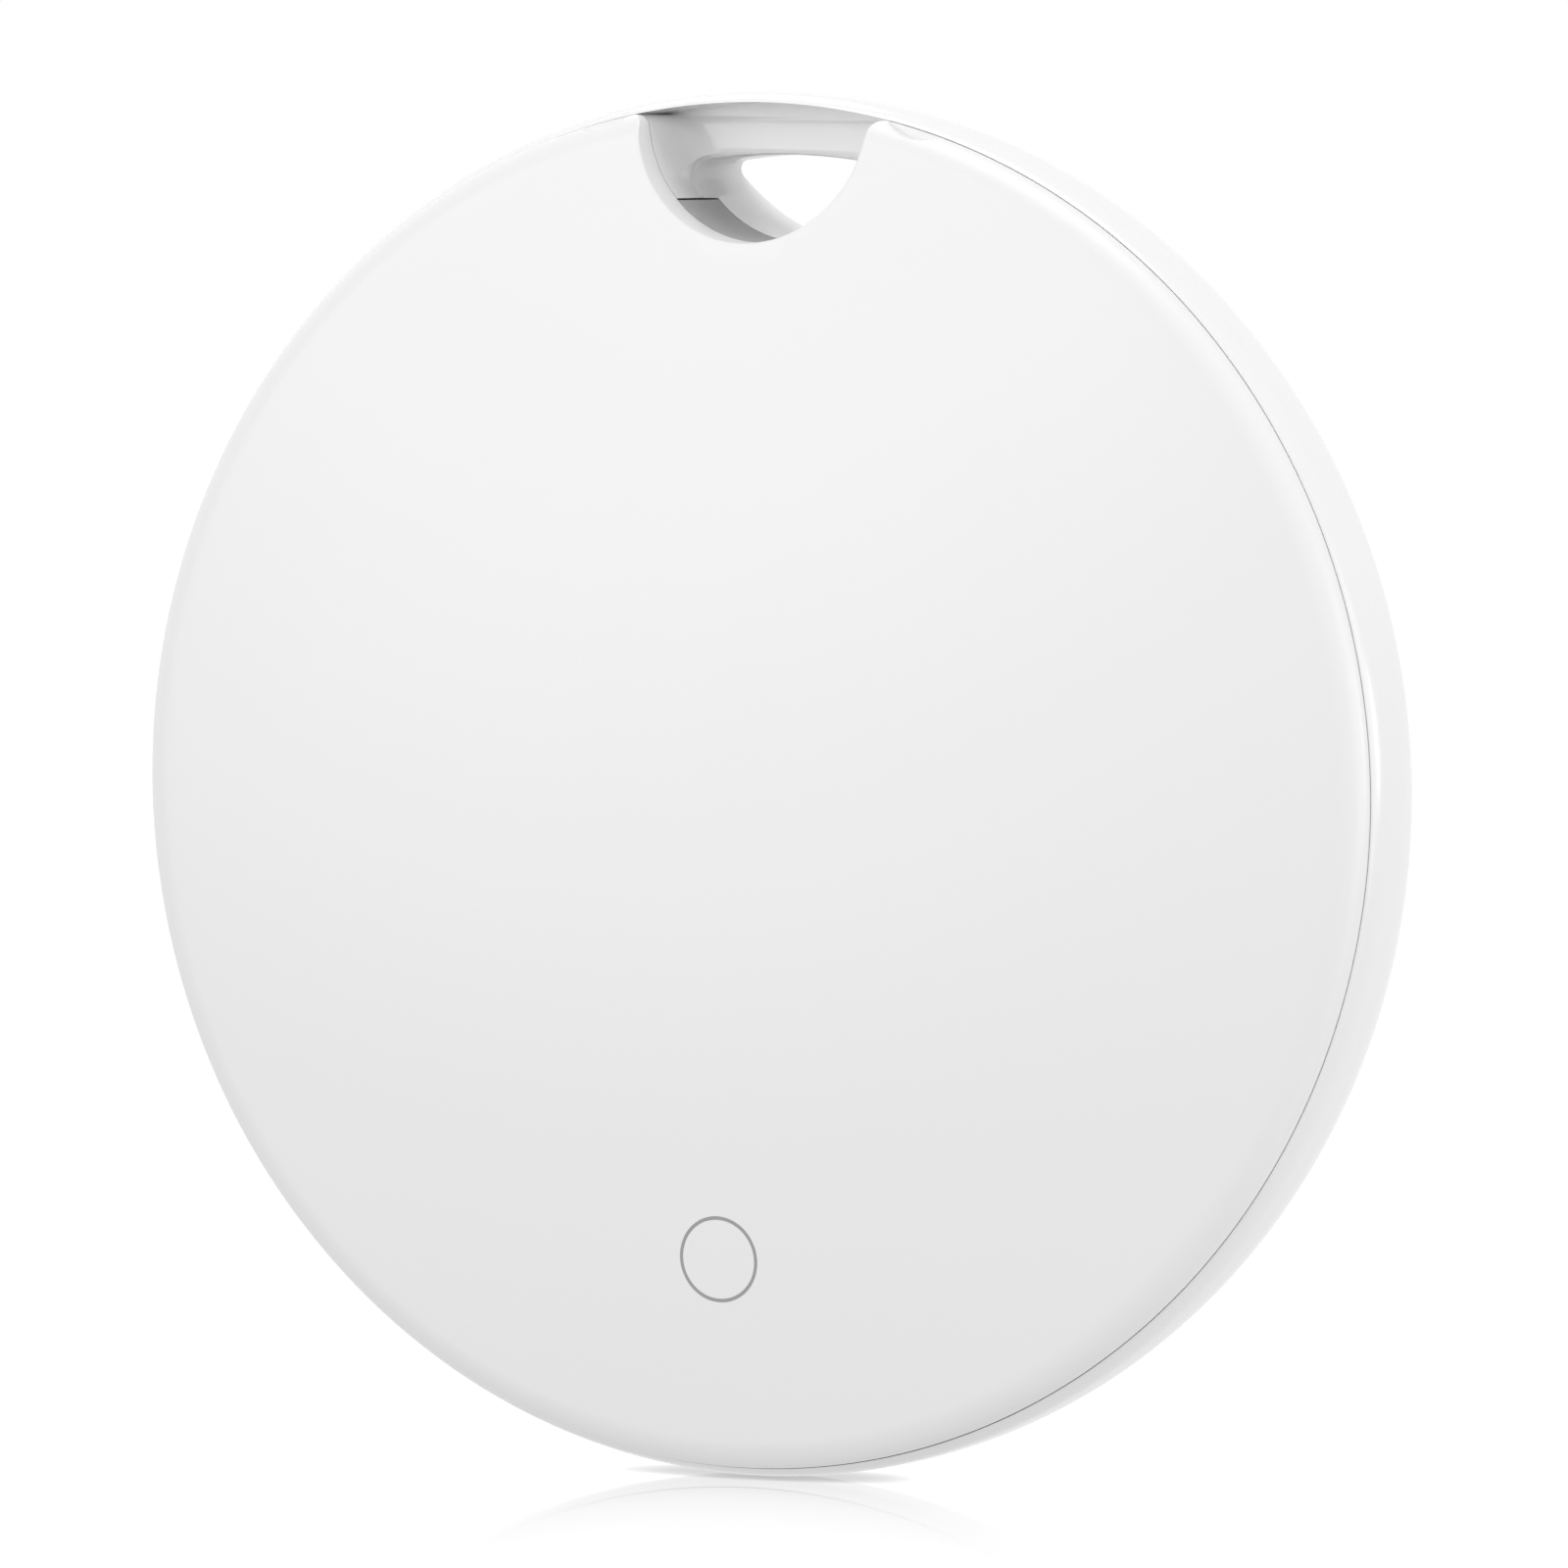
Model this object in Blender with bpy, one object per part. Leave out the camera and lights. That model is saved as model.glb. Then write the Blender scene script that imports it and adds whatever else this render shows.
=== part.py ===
"""Round bluetooth tracker tag: a domed press-fit cover and a deep rear shell with a strap hole, around a coin cell,
a circuit board, a push button and a piezo sounder. The tag stands on its rim: +Z is up, and -Y is the front."""

import math

import bmesh
import bpy
from mathutils import Matrix

for old in list(bpy.data.objects):
    bpy.data.objects.remove(old)

# ---- Driving dimensions ----
# Sizes are millimetres, and MM turns them into Blender's metres. Depths run backwards (+Y) from the seam plane,
# where the cover's edge meets the shell's lip.
MM = 0.001
TURNED_SIDES = 64
SMALL_SIDES = 32

BODY_R = 19.0
FRONT_Y = -1.9
REAR_Y = 6.8
SEAM_FROM_CENTRE = -(FRONT_Y + REAR_Y) / 2
WALL = 1.1

COVER_R = 18.72
DOME_RISE = 1.4
EDGE_DROP = -FRONT_Y - DOME_RISE
EDGE_ROUND = 0.8
COVER_INNER_Y = 0.1
FLANGE_Y = 0.9
SKIRT_R = 17.7
SKIRT_Y = 2.1
SKIRT_WALL = 0.8
POCKET_R = 10.8
POCKET_Y = -0.75

LEDGE_Y = 1.0
LEDGE_R = 16.95
LIP_R = 18.78
REAR_CURVE_Y = 1.3
REAR_FLAT_R = 8.0
REAR_POWER = 2.5
REAR_ROOT = 2.1

HOLE_Z = 18.4
HOLE_R = 3.5
COLLAR_R = 4.3
COLLAR_FRONT_Y = 0.15
BRIDGE_R = 17.3
BRIDGE_Y = 1.85
HOLE_CORNER = 0.5
NOTCH_CORNER = 0.7
PARTING_Z = 16.05
RUN_GAP = 0.05

BUTTON_Z = -12.9
BUTTON_R = 1.08
SEAL_R = 1.19
SEAL_BORE_R = 1.1

CELL_R = 10.0
CELL_FRONT_Y = -0.5
CELL_REAR_Y = 2.7

FRAME_R = 16.8
FRAME_FLOOR_Y = (2.76, 3.24)
BOARD_Y = (3.3, 3.9)
BOARD_R = 16.0
SCREW_RING_R = 14.2
SCREW_ANGLES = (12.0, 168.0, 300.0)


# ---- Making and joining shapes ----
def principled(name, colour, roughness, metallic=0.0):
    """A plain material with a Principled shader."""
    material = bpy.data.materials.new(name)
    material.use_nodes = True
    shader = material.node_tree.nodes["Principled BSDF"]
    shader.inputs["Base Color"].default_value = (*colour, 1.0)
    shader.inputs["Roughness"].default_value = roughness
    shader.inputs["Metallic"].default_value = metallic
    return material


def empty(name, place, parent=None):
    """A named frame that the pieces of one moving body hang on."""
    frame = bpy.data.objects.new(name, None)
    frame.location = place
    frame.parent = parent
    bpy.context.scene.collection.objects.link(frame)
    return frame


def finish(name, bm, material, parent, smooth_angle=30.0):
    """Closes a bmesh in millimetres into a named object, with its normals out."""
    bmesh.ops.remove_doubles(bm, verts=bm.verts, dist=1e-4)
    bmesh.ops.recalc_face_normals(bm, faces=bm.faces)
    mesh = bpy.data.meshes.new(name)
    bm.to_mesh(mesh)
    bm.free()
    mesh.shade_smooth()
    mesh.set_sharp_from_angle(angle=math.radians(smooth_angle))
    mesh.materials.append(material)
    piece = bpy.data.objects.new(name, mesh)
    piece.parent = parent
    bpy.context.scene.collection.objects.link(piece)
    return piece


def turned(profile, sides=TURNED_SIDES, centre=(0.0, 0.0)):
    """Spins (radius, depth) points about an axis along Y at centre (x, z); off-axis profiles close on themselves."""
    bm = bmesh.new()
    points = [bm.verts.new((radius, depth, 0.0)) for radius, depth in profile]
    edges = [bm.edges.new(pair) for pair in zip(points, points[1:])]
    if profile[0][0] > 0:
        edges.append(bm.edges.new((points[-1], points[0])))
    bmesh.ops.spin(
        bm, geom=points + edges, cent=(0, 0, 0), axis=(0, 1, 0), angle=math.tau, steps=sides, use_merge=True
    )
    if sides != TURNED_SIDES:
        # Half a side's turn keeps the corners of small round shapes off the large ones' corners.
        turn_about_y(bm, 180 / sides)
    bmesh.ops.translate(bm, vec=(centre[0], 0.0, centre[1]), verts=bm.verts)
    return bm


def rod(radius, front, back, sides=SMALL_SIDES, centre=(0.0, 0.0)):
    """A plain cylinder along Y."""
    return turned([(0.0, front), (radius, front), (radius, back), (0.0, back)], sides, centre)


def ring(inner, outer, front, back, sides=SMALL_SIDES, centre=(0.0, 0.0)):
    """A plain tube along Y."""
    return turned([(outer, front), (outer, back), (inner, back), (inner, front)], sides, centre)


def slab(outline, front, back):
    """An outline of (x, z) points, extruded along Y."""
    bm = bmesh.new()
    face = bm.faces.new([bm.verts.new((x, front, z)) for x, z in outline])
    swept = bmesh.ops.extrude_face_region(bm, geom=[face])["geom"]
    moved = [item for item in swept if isinstance(item, bmesh.types.BMVert)]
    bmesh.ops.translate(bm, vec=(0.0, back - front, 0.0), verts=moved)
    return bm


def block(low, high, edge=0.0):
    """A box between two corners, with its edges eased if asked."""
    bm = bmesh.new()
    bmesh.ops.create_cube(bm, size=1.0)
    bmesh.ops.scale(bm, vec=[h - l for l, h in zip(low, high)], verts=bm.verts)
    bmesh.ops.translate(bm, vec=[(l + h) / 2 for l, h in zip(low, high)], verts=bm.verts)
    if edge:
        bmesh.ops.bevel(
            bm, geom=bm.edges, offset=edge, segments=1, profile=0.5, affect="EDGES", material=-1
        )
    return bm


def turn_about_y(bm, degrees):
    """Turns a shape about the tag's own axis, from +X towards +Z."""
    bmesh.ops.rotate(bm, cent=(0, 0, 0), matrix=Matrix.Rotation(-math.radians(degrees), 3, "Y"), verts=bm.verts)
    return bm


def boolean(piece, bm, operation, parent):
    """Adds a Boolean with a helper shape, which stays out of the render."""
    helper = finish(f"{piece.name}_helper", bm, piece.data.materials[0], parent)
    use_helper(piece, helper, operation)
    return helper


# The shell is cut by a hollow that is itself cut, where the EXACT solver leaves open edges.
SOLVER = {"rear_shell": "MANIFOLD"}


def use_helper(piece, helper, operation):
    """Points a Boolean at a helper object that is already made."""
    helper.hide_render = True
    helper.display_type = "WIRE"
    step = piece.modifiers.new(f"{operation.lower()}_{len(piece.modifiers)}", "BOOLEAN")
    step.operation = operation
    step.solver = SOLVER.get(piece.name, "EXACT")
    step.object = helper


def arc(centre, radius, start, end, steps):
    """Points (x, z) on an arc, angles in degrees from +X towards +Z."""
    turns = [math.radians(start + (end - start) * step / steps) for step in range(steps + 1)]
    return [(centre[0] + radius * math.cos(turn), centre[1] + radius * math.sin(turn)) for turn in turns]


def circles_meet(z_one, reach_one, reach_two):
    """Where circles about (0, z_one) and the tag's axis cross, on the +X side: a fillet's centre."""
    z = (reach_two**2 - reach_one**2 + z_one**2) / (2 * z_one)
    return math.sqrt(reach_two**2 - z**2), z


def bearing(start, end):
    """The direction from one (x, z) point to another, in degrees."""
    return math.degrees(math.atan2(end[1] - start[1], end[0] - start[0]))


# ---- The tag's outer surfaces and the strap hole's outlines ----
def cover_front(radius):
    """Depth of the cover's outer face: a shallow dome, then a rounded edge."""
    dome = DOME_RISE * (1 - (radius / COVER_R) ** 2)
    into_round = max(0.0, (radius - COVER_R + EDGE_ROUND) / EDGE_ROUND)
    return -dome - EDGE_DROP * math.sqrt(max(0.0, 1 - into_round**2))


def rear_curve(outer_r, rear_y, steps):
    """Points from the widest part of the shell round to its flat rear face, for the outside or the inside."""
    points = []
    for step in range(steps + 1):
        slope = math.radians(90 * step / steps)
        share = math.cos(slope) ** (2 / REAR_POWER)
        depth = (1 - share**REAR_POWER) ** (1 / REAR_ROOT)
        radius = REAR_FLAT_R + (outer_r - REAR_FLAT_R) * share
        points.append((radius, REAR_CURVE_Y + (rear_y - REAR_CURVE_Y) * depth))
    return points


def hole_outline():
    """The through hole: the collar's bore below, the bridge's underside above, and rounded corners."""
    corner = circles_meet(HOLE_Z, HOLE_R - HOLE_CORNER, BRIDGE_R - HOLE_CORNER)
    low = bearing((0.0, HOLE_Z), corner)
    high = bearing((0.0, 0.0), corner)
    right = arc(corner, HOLE_CORNER, low, high, 4)
    top = arc((0.0, 0.0), BRIDGE_R, high, 180 - high, 6)[1:-1]
    left = [(-x, z) for x, z in reversed(right)]
    bottom = arc((0.0, HOLE_Z), HOLE_R, -180 - low, low, 10)[1:-1]
    return right + top + left + bottom


def notch_outline(bore, corner, rim):
    """The U-shaped notch, which flares round its corners into the rim and runs out past it."""
    centre = circles_meet(HOLE_Z, bore + corner, rim - corner)
    low = bearing((0.0, HOLE_Z), centre)
    flare = arc(centre, corner, low + 180, bearing((0.0, 0.0), centre), 4)
    right = flare + [(flare[-1][0], BODY_R + 3)]
    left = [(-x, z) for x, z in reversed(right)]
    bottom = arc((0.0, HOLE_Z), bore, -180 - low, low, 14)[1:-1]
    return right + left + bottom


white = principled("white_plastic", (0.86, 0.86, 0.86), 0.3)
# The tag's own frame carries the millimetres, so every piece below is modelled in them at the seam plane's centre.
tag = empty("tag", (0.0, SEAM_FROM_CENTRE * MM, 0.0))
tag.scale = (MM, MM, MM)

# ---- Front cover ----
cover_body = empty("cover_body", (0.0, 0.0, 0.0), tag)
dome_flat = [(COVER_R - EDGE_ROUND) * step / 4 for step in range(5)]
dome_edge = [COVER_R - EDGE_ROUND + EDGE_ROUND * math.sin(math.radians(22.5 * step)) for step in range(1, 5)]
dome_profile = [(radius, cover_front(radius)) for radius in dome_flat + dome_edge]
cover_profile = dome_profile + [
    (COVER_R, FLANGE_Y),
    (SKIRT_R, FLANGE_Y),
    (SKIRT_R, SKIRT_Y),
    (SKIRT_R - SKIRT_WALL, SKIRT_Y),
    (SKIRT_R - SKIRT_WALL, COVER_INNER_Y),
    (POCKET_R, COVER_INNER_Y),
    (POCKET_R, POCKET_Y),
    (0.0, POCKET_Y),
]
front_cover = finish("front_cover", turned(cover_profile), white, cover_body)
boolean(front_cover, slab(notch_outline(HOLE_R, NOTCH_CORNER, COVER_R), FRONT_Y - 1, 4.0), "DIFFERENCE", cover_body)
# The skirt stops short of the shell's collar and of the frame's wall beside it.
COLLAR_ROOM_Y = 0.95
SKIRT_GAP_HALF = 4.9
SKIRT_GAP_Z = (14.0, 17.85)
collar_room = rod(COLLAR_R + 2 * RUN_GAP, COLLAR_ROOM_Y, 4.0, SMALL_SIDES, (0.0, HOLE_Z))
boolean(front_cover, collar_room, "DIFFERENCE", cover_body)
skirt_gap = block((-SKIRT_GAP_HALF, COVER_INNER_Y, SKIRT_GAP_Z[0]), (SKIRT_GAP_HALF, 4.0, SKIRT_GAP_Z[1]))
boolean(front_cover, skirt_gap, "DIFFERENCE", cover_body)
boolean(front_cover, rod(SEAL_R + 0.01, -3.0, 1.0, SMALL_SIDES, (0.0, BUTTON_Z)), "DIFFERENCE", cover_body)
# A fingernail relief in the cover's edge on each side of the notch.
RELIEF_FROM, RELIEF_TO, RELIEF_DEPTH, RELIEF_Y = 4.7, 6.0, 0.18, 0.45
for side in (-1, 1):
    start = 90 - side * math.degrees(math.asin(RELIEF_FROM / COVER_R))
    end = 90 - side * math.degrees(math.asin(RELIEF_TO / COVER_R))
    dip = arc((0.0, 0.0), COVER_R - RELIEF_DEPTH, start, end, 3)
    over = arc((0.0, 0.0), COVER_R + 1, end, start, 2)
    boolean(front_cover, slab(dip + over, FRONT_Y, RELIEF_Y), "DIFFERENCE", cover_body)

# ---- Push button and its seal ----
button_body = empty("button_body", (0.0, 0.0, BUTTON_Z), cover_body)
grey_rubber = principled("grey_rubber", (0.35, 0.35, 0.36), 0.6)
BUTTON_FLANGE_Y = (0.15, 0.5)
BUTTON_FLANGE_R = 1.7
BUTTON_STEM_R = 0.7
BUTTON_STEM_Y = 1.8
button_profile = [
    (0.0, -3.0),
    (BUTTON_R, -3.0),
    (BUTTON_R, BUTTON_FLANGE_Y[0]),
    (BUTTON_FLANGE_R, BUTTON_FLANGE_Y[0]),
    (BUTTON_FLANGE_R, BUTTON_FLANGE_Y[1]),
    (BUTTON_STEM_R, BUTTON_FLANGE_Y[1]),
    (BUTTON_STEM_R, BUTTON_STEM_Y),
    (0.0, BUTTON_STEM_Y),
]
button_cap = finish("button_cap", turned(button_profile, SMALL_SIDES), white, button_body)
# The cap's and the seal's front faces follow the dome.
dome_solid = finish("dome_helper", turned(dome_profile + [(COVER_R, 5.0), (0.0, 5.0)]), white, cover_body)
use_helper(button_cap, dome_solid, "INTERSECT")
seal_bm = ring(SEAL_BORE_R, SEAL_R, -3.0, COVER_INNER_Y, SMALL_SIDES, (0.0, BUTTON_Z))
button_seal = finish("button_seal", seal_bm, grey_rubber, cover_body)
use_helper(button_seal, dome_solid, "INTERSECT")

# ---- Foam pad between the cover and the cell ----
foam = principled("foam", (0.12, 0.12, 0.13), 0.9)
PAD_R = 6.0
finish("battery_foam_pad", rod(PAD_R, POCKET_Y + 0.01, CELL_FRONT_Y - 0.02), foam, cover_body)

# ---- Rear shell ----
outer_curve = rear_curve(BODY_R, REAR_Y, 9)
shell_outside = [(0.0, 0.0), (BODY_R - 0.06, 0.0), (BODY_R, 0.06)] + outer_curve + [(0.0, REAR_Y)]
rear_shell = finish("rear_shell", turned(shell_outside), white, tag)
inner_curve = rear_curve(BODY_R - WALL, REAR_Y - WALL, 6)
shell_inside = [(0.0, -1.0), (BODY_R - WALL, -1.0)] + inner_curve + [(0.0, REAR_Y - WALL)]
hollow = boolean(rear_shell, turned(shell_inside), "DIFFERENCE", tag)
# The hollow goes round the collar of the strap hole and round the screw bosses, so they stay in the shell.
collar_block = rod(COLLAR_R, COLLAR_FRONT_Y, REAR_Y, SMALL_SIDES, (0.0, HOLE_Z))
boolean(hollow, collar_block, "DIFFERENCE", tag)
BOSS_R = 1.5
PILOT_R = 0.5
PILOT_END_Y = 5.2
for degrees in SCREW_ANGLES:
    boss = turn_about_y(rod(BOSS_R, BOARD_Y[1] + RUN_GAP, REAR_Y, 16, (SCREW_RING_R, 0.0)), degrees)
    boolean(hollow, boss, "DIFFERENCE", tag)
    pilot = turn_about_y(rod(PILOT_R, 2.0, PILOT_END_Y, 12, (SCREW_RING_R, 0.0)), degrees)
    boolean(rear_shell, pilot, "DIFFERENCE", tag)
# The mouth takes the cover's flange and, below the bridge, the inner frame's wall.
FRAME_ROOM_HALF = 6.0
FRAME_ROOM_FOOT_Z = 13.0
FRAME_ROOM_Y = 2.6
boolean(rear_shell, ring(LEDGE_R, LIP_R, -1.0, LEDGE_Y, TURNED_SIDES), "DIFFERENCE", tag)
frame_room = block((-FRAME_ROOM_HALF, -1.0, FRAME_ROOM_FOOT_Z), (FRAME_ROOM_HALF, FRAME_ROOM_Y, PARTING_Z))
boolean(rear_shell, frame_room, "DIFFERENCE", tag)
boolean(rear_shell, slab(hole_outline(), -1.0, REAR_Y + 1), "DIFFERENCE", tag)
# In front of the bridge's web the notch goes on into the shell, up to its thin lip.
web_room = notch_outline(HOLE_R, NOTCH_CORNER, COVER_R)
recess = boolean(rear_shell, slab(web_room, -1.0, BRIDGE_Y), "DIFFERENCE", tag)
boolean(recess, rod(LIP_R, -2.0, 3.0, TURNED_SIDES), "INTERSECT", tag)

# ---- Inner frame: battery tray with the wall seen in the strap hole ----
frame_white = principled("frame_plastic", (0.75, 0.75, 0.75), 0.5)
TRAY_R = (10.2, 11.0)
TRAY_Y = 0.3
FLOOR_BORE = 7.5
frame_profile = [
    (TRAY_R[0], TRAY_Y),
    (TRAY_R[1], TRAY_Y),
    (TRAY_R[1], FRAME_FLOOR_Y[0]),
    (FRAME_R, FRAME_FLOOR_Y[0]),
    (FRAME_R, FRAME_FLOOR_Y[1]),
    (FLOOR_BORE, FRAME_FLOOR_Y[1]),
    (FLOOR_BORE, FRAME_FLOOR_Y[0]),
    (TRAY_R[0], FRAME_FLOOR_Y[0]),
]
inner_frame = finish("inner_frame", turned(frame_profile), frame_white, tag)
# Room for the shell's collar first, then the frame's own wall, which lines the hole in front of the collar.
collar_clearance = rod(COLLAR_R + 2 * RUN_GAP, -1.0, 5.0, SMALL_SIDES, (0.0, HOLE_Z))
boolean(inner_frame, collar_clearance, "DIFFERENCE", tag)
WALL_HALF = 3.9
WALL_BACK_Y = 2.5
wall_block = block((-WALL_HALF, COLLAR_FRONT_Y, 12.7), (WALL_HALF, WALL_BACK_Y, PARTING_Z - RUN_GAP))
boolean(inner_frame, wall_block, "UNION", tag)
rib_block = block((0.3 - WALL_HALF, 0.4, 12.5), (WALL_HALF - 0.3, FRAME_FLOOR_Y[0] + 0.24, 13.9))
boolean(inner_frame, rib_block, "UNION", tag)
boolean(inner_frame, rod(HOLE_R, -1.0, 5.0, TURNED_SIDES, (0.0, HOLE_Z)), "DIFFERENCE", tag)
# Openings for the positive contact at +X, for the switch below the cell, and for the screws.
boolean(inner_frame, block((9.5, 0.0, -1.8), (13.2, 4.0, 1.8)), "DIFFERENCE", tag)
boolean(inner_frame, block((-2.2, 0.0, BUTTON_Z - 1.9), (2.2, 4.0, BUTTON_Z + 1.7)), "DIFFERENCE", tag)
for degrees in SCREW_ANGLES:
    boolean(inner_frame, turn_about_y(rod(0.8, 2.0, 4.0, 16, (SCREW_RING_R, 0.0)), degrees), "DIFFERENCE", tag)

# ---- Coin cell: can, cap, insulating ring and inner stack ----
cell_body = empty("cell_body", (0.0, 0.0, 0.0), tag)
cell_steel = principled("cell_steel", (0.62, 0.62, 0.6), 0.3, 1.0)
can_profile = [
    (0.0, CELL_FRONT_Y),
    (CELL_R - 0.2, CELL_FRONT_Y),
    (CELL_R, CELL_FRONT_Y + 0.2),
    (CELL_R, CELL_REAR_Y - 0.5),
    (CELL_R - 0.45, CELL_REAR_Y - 0.15),
    (CELL_R - 0.65, CELL_REAR_Y - 0.3),
    (CELL_R - 0.25, CELL_REAR_Y - 0.7),
    (CELL_R - 0.25, CELL_FRONT_Y + 0.25),
    (0.0, CELL_FRONT_Y + 0.25),
]
finish("cell_can", turned(can_profile, 48), cell_steel, cell_body)
CAP_R = 9.1
cap_profile = [
    (CAP_R, CELL_FRONT_Y + 0.45),
    (CAP_R, CELL_REAR_Y - 0.5),
    (CAP_R - 0.6, CELL_REAR_Y),
    (0.0, CELL_REAR_Y),
    (0.0, CELL_REAR_Y - 0.25),
    (CAP_R - 0.7, CELL_REAR_Y - 0.25),
    (CAP_R - 0.25, CELL_REAR_Y - 0.6),
    (CAP_R - 0.25, CELL_FRONT_Y + 0.45),
]
cap_open = cap_profile[4:] + cap_profile[:4]
finish("cell_cap", turned(cap_open, 48), cell_steel, cell_body)
black_polymer = principled("black_polymer", (0.05, 0.05, 0.05), 0.6)
gasket_profile = [
    (CAP_R - 0.2, CELL_FRONT_Y + 0.3),
    (CELL_R - 0.3, CELL_FRONT_Y + 0.3),
    (CELL_R - 0.3, CELL_REAR_Y - 0.75),
    (CAP_R + 0.05, CELL_REAR_Y - 0.45),
    (CAP_R + 0.05, CELL_FRONT_Y + 0.4),
    (CAP_R - 0.2, CELL_FRONT_Y + 0.4),
]
finish("cell_gasket", turned(gasket_profile, 48), black_polymer, cell_body)
cell_stack = rod(CAP_R - 0.45, CELL_FRONT_Y + 0.35, CELL_REAR_Y - 0.7)
finish("cell_electrodes", cell_stack, principled("cell_stack", (0.2, 0.2, 0.22), 0.7, 0.3), cell_body)

# ---- Battery contacts on the board's front ----
gold = principled("gold_plate", (0.8, 0.62, 0.3), 0.3, 1.0)
BLADE_X = CELL_R + 0.06
blade = block((BLADE_X, 0.7, -1.2), (BLADE_X + 0.15, BOARD_Y[0] - 0.02, 1.2))
positive_contact = finish("positive_contact", blade, gold, tag)
foot = block((BLADE_X + 0.01, BOARD_Y[0] - 0.17, -1.2), (12.6, BOARD_Y[0] - 0.02, 1.2))
boolean(positive_contact, foot, "UNION", tag)
# A leaf bent up from its foot on the board to just behind the cell's cap.
LEAF_THICK = 0.12
leaf_line = [(-6.0, 3.28), (-3.6, 3.28), (1.0, 2.88), (2.4, 2.88), (3.6, 3.05)]
leaf_outline = leaf_line + [(x, y - LEAF_THICK) for x, y in reversed(leaf_line)]
leaf = bmesh.new()
leaf_face = leaf.faces.new([leaf.verts.new((x, y, -1.3)) for x, y in leaf_outline])
leaf_swept = bmesh.ops.extrude_face_region(leaf, geom=[leaf_face])["geom"]
leaf_moved = [item for item in leaf_swept if isinstance(item, bmesh.types.BMVert)]
bmesh.ops.translate(leaf, vec=(0.0, 0.0, 2.6), verts=leaf_moved)
finish("negative_contact", leaf, gold, tag)

# ---- Circuit board ----
green_board = principled("board_laminate", (0.02, 0.16, 0.07), 0.4)
circuit_board = finish("circuit_board", rod(BOARD_R, *BOARD_Y, TURNED_SIDES), green_board, tag)
board_notch = rod(COLLAR_R + 0.3, 2.0, 5.0, SMALL_SIDES, (0.0, HOLE_Z))
boolean(circuit_board, board_notch, "DIFFERENCE", tag)
for degrees in SCREW_ANGLES:
    boolean(circuit_board, turn_about_y(rod(0.8, 2.0, 5.0, 16, (SCREW_RING_R, 0.0)), degrees), "DIFFERENCE", tag)

# ---- Tactile switch under the button ----
SWITCH_TOP_Y = 2.35
switch_black = principled("switch_black", (0.03, 0.03, 0.03), 0.5)
steel = principled("steel", (0.7, 0.7, 0.7), 0.25, 1.0)
base_low = (-1.6, SWITCH_TOP_Y + 0.17, BUTTON_Z - 1.3)
base_high = (1.6, BOARD_Y[0] - 0.02, BUTTON_Z + 1.3)
switch_base = finish("switch_base", block(base_low, base_high, 0.06), switch_black, tag)
boolean(switch_base, rod(0.85, 1.0, 3.1, SMALL_SIDES, (0.0, BUTTON_Z)), "DIFFERENCE", tag)
lid_low = (-1.55, SWITCH_TOP_Y, BUTTON_Z - 1.25)
lid_high = (1.55, SWITCH_TOP_Y + 0.15, BUTTON_Z + 1.25)
switch_lid = finish("switch_lid", block(lid_low, lid_high), steel, tag)
boolean(switch_lid, rod(0.62, 1.0, 3.0, SMALL_SIDES, (0.0, BUTTON_Z)), "DIFFERENCE", tag)
plunger_body = empty("plunger_body", (0.0, 0.0, BUTTON_Z), tag)
plunger_profile = [
    (0.0, BUTTON_STEM_Y + 0.1),
    (0.5, BUTTON_STEM_Y + 0.1),
    (0.57, BUTTON_STEM_Y + 0.17),
    (0.57, SWITCH_TOP_Y + 0.2),
    (0.8, SWITCH_TOP_Y + 0.2),
    (0.8, SWITCH_TOP_Y + 0.45),
    (0.0, SWITCH_TOP_Y + 0.45),
]
finish("switch_plunger", turned(plunger_profile, 24), switch_black, plunger_body)

# ---- Parts soldered on the board's rear ----
PART_Y = BOARD_Y[1] + 0.02
chip_black = principled("chip_black", (0.02, 0.02, 0.025), 0.35)
finish("radio_chip", block((3.5, PART_Y, 2.0), (8.5, PART_Y + 0.8, 7.0), 0.05), chip_black, tag)
finish("crystal", block((9.3, PART_Y, 3.4), (11.3, PART_Y + 0.5, 5.0), 0.08), steel, tag)
ceramic_tan = principled("capacitor_ceramic", (0.5, 0.36, 0.22), 0.5)
CAPACITOR_PLACES = ((2.2, 2.2), (2.2, 4.2), (2.2, 6.2), (5.0, 8.2))
for number, (x, z) in enumerate(CAPACITOR_PLACES, 1):
    body = block((x - 0.3, PART_Y, z - 0.55), (x + 0.3, PART_Y + 0.55, z + 0.55), 0.04)
    finish(f"capacitor_{number}", body, ceramic_tan, tag)
finish("inductor", block((7.0, PART_Y, 8.0), (8.6, PART_Y + 0.75, 9.0), 0.06), chip_black, tag)
antenna = block((-2.4, PART_Y, -0.5), (2.4, PART_Y + 0.5, 0.5), 0.05)
bmesh.ops.translate(antenna, vec=(0.0, 0.0, -13.3), verts=antenna.verts)
antenna_white = principled("antenna_ceramic", (0.8, 0.8, 0.78), 0.3)
finish("antenna", turn_about_y(antenna, -50.0), antenna_white, tag)

# ---- Piezo sounder on the shell's inner rear face ----
brass = principled("brass", (0.75, 0.55, 0.25), 0.3, 1.0)
TAPE_REAR = REAR_Y - WALL - 0.02
PLATE_R = 7.5
finish("buzzer_tape", ring(6.4, PLATE_R, TAPE_REAR - 0.12, TAPE_REAR, 48), foam, tag)
PLATE_Y = (TAPE_REAR - 0.34, TAPE_REAR - 0.14)
finish("buzzer_plate", rod(PLATE_R, *PLATE_Y, 48), brass, tag)
CERAMIC_Y = (PLATE_Y[0] - 0.22, PLATE_Y[0] - 0.02)
piezo_white = principled("piezo_ceramic", (0.72, 0.7, 0.62), 0.45)
finish("buzzer_ceramic", rod(5.4, *CERAMIC_Y, 40), piezo_white, tag)


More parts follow.
